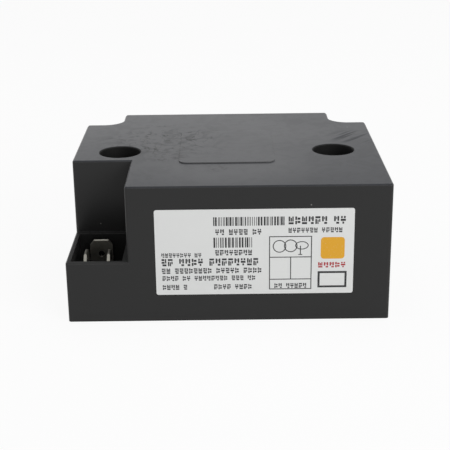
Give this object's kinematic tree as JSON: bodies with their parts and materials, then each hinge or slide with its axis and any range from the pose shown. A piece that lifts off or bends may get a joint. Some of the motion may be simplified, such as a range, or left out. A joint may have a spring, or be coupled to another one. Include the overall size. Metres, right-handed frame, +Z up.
{
  "type": "ignition transformer",
  "caption": "Potted ignition transformer: dark moulded case with screw wells, a stepped corner with blade terminals in a well, recessed high-voltage sockets and a label.",
  "frame": {"origin": "middle of the case's footprint, on the plane that the case is screwed down to", "axes": "+X to the right along the label face, +Y from the label face to the socket face, +Z up through the screw wells"},
  "size_m": [0.085, 0.0747, 0.0377],
  "materials": {
    "case_plastic": "satin moulded",
    "potting_compound": "cast, glossy",
    "label_film": "printed film",
    "tinned_brass": "tin plated, stamped",
    "turned_brass": "turned",
    "board_laminate": "laminate",
    "black_moulding": "moulded epoxy",
    "blue_coating": "dipped epoxy",
    "capacitor_box": "moulded box",
    "resistor_coating": "dipped coating",
    "ferrite": "pressed and sintered",
    "copper_wire": "enamelled winding wire",
    "bobbin_plastic": "moulded",
    "heat_sink_aluminium": "extruded",
    "plated_steel": "zinc plated",
    "wire_insulation": "silicone rubber"
  },
  "bodies": {
    "root": {"housing": "case_plastic", "potting_resin": "potting_compound", "rating_label": "label_film", "line_tab": "tinned_brass", "neutral_tab": "tinned_brass", "earth_tab": "tinned_brass", "high_voltage_pin_left": "turned_brass", "high_voltage_pin_right": "turned_brass", "circuit_board": "board_laminate", "fuse": "black_moulding", "varistor": "blue_coating", "suppression_capacitor": "capacitor_box", "reservoir_capacitor": "capacitor_box", "resonance_capacitor": "capacitor_box", "choke_core": "ferrite", "choke_winding": "copper_wire", "bridge_rectifier": "black_moulding", "start_resistor": "resistor_coating", "sense_resistor": "resistor_coating", "recovery_diode": "black_moulding", "driver_transistor": "black_moulding", "power_transistor": "black_moulding", "heat_sink": "heat_sink_aluminium", "insulating_bush": "bobbin_plastic", "insulating_pad": "bobbin_plastic", "transistor_screw": "plated_steel", "transistor_nut": "plated_steel", "core_half_left": "ferrite", "core_half_right": "ferrite", "core_spacer_lower": "bobbin_plastic", "core_spacer_upper": "bobbin_plastic", "primary_bobbin": "bobbin_plastic", "primary_winding": "copper_wire", "feedback_winding": "copper_wire", "secondary_bobbin": "bobbin_plastic", "secondary_winding_left": "copper_wire", "secondary_winding_right": "copper_wire", "high_voltage_lead_left": "wire_insulation", "high_voltage_lead_right": "wire_insulation", "centre_tap_lead": "copper_wire"}
  },
  "joints": []
}
